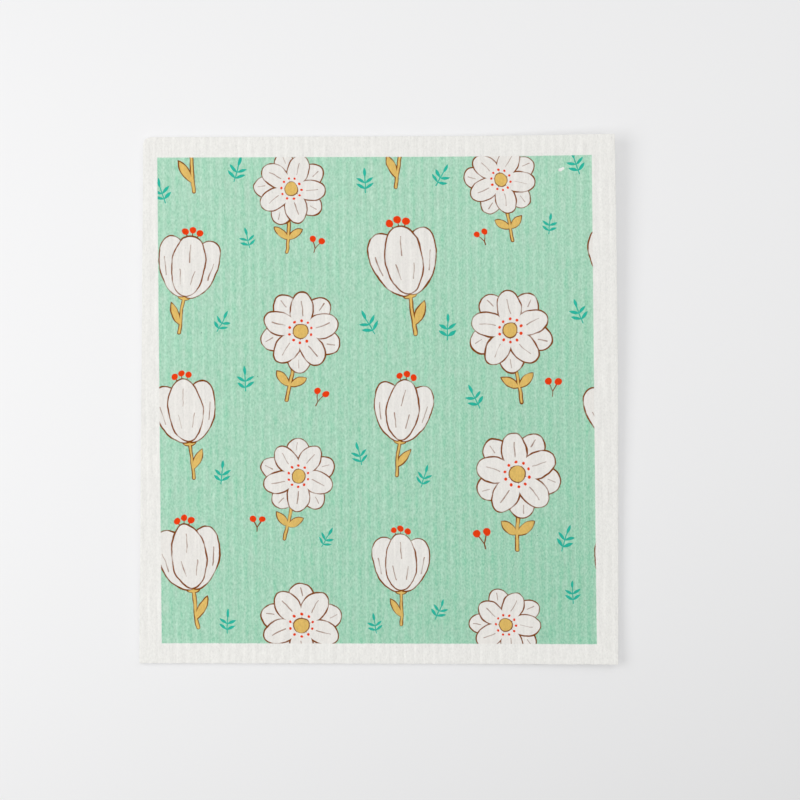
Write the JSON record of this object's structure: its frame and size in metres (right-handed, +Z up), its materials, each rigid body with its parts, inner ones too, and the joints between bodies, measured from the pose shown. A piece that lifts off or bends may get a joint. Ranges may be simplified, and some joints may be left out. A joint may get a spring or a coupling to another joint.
{
  "type": "sponge cloth",
  "caption": "Flat rectangular dry cellulose sponge cloth with a fine ribbed face, a printed field inside a plain margin, and one side slightly curled up.",
  "frame": {"origin": "under the middle of the sheet, on the surface it rests on", "axes": "+Y along the ribs and the longer side, +X across the ribs towards the curled side, +Z up out of the printed face"},
  "size_m": [0.1812, 0.2, 0.0086],
  "materials": {
    "printed_sponge": "matte dry cellulose sponge, white with a mint print"
  },
  "bodies": {
    "root": {"sponge_cloth": "printed_sponge"}
  },
  "joints": []
}
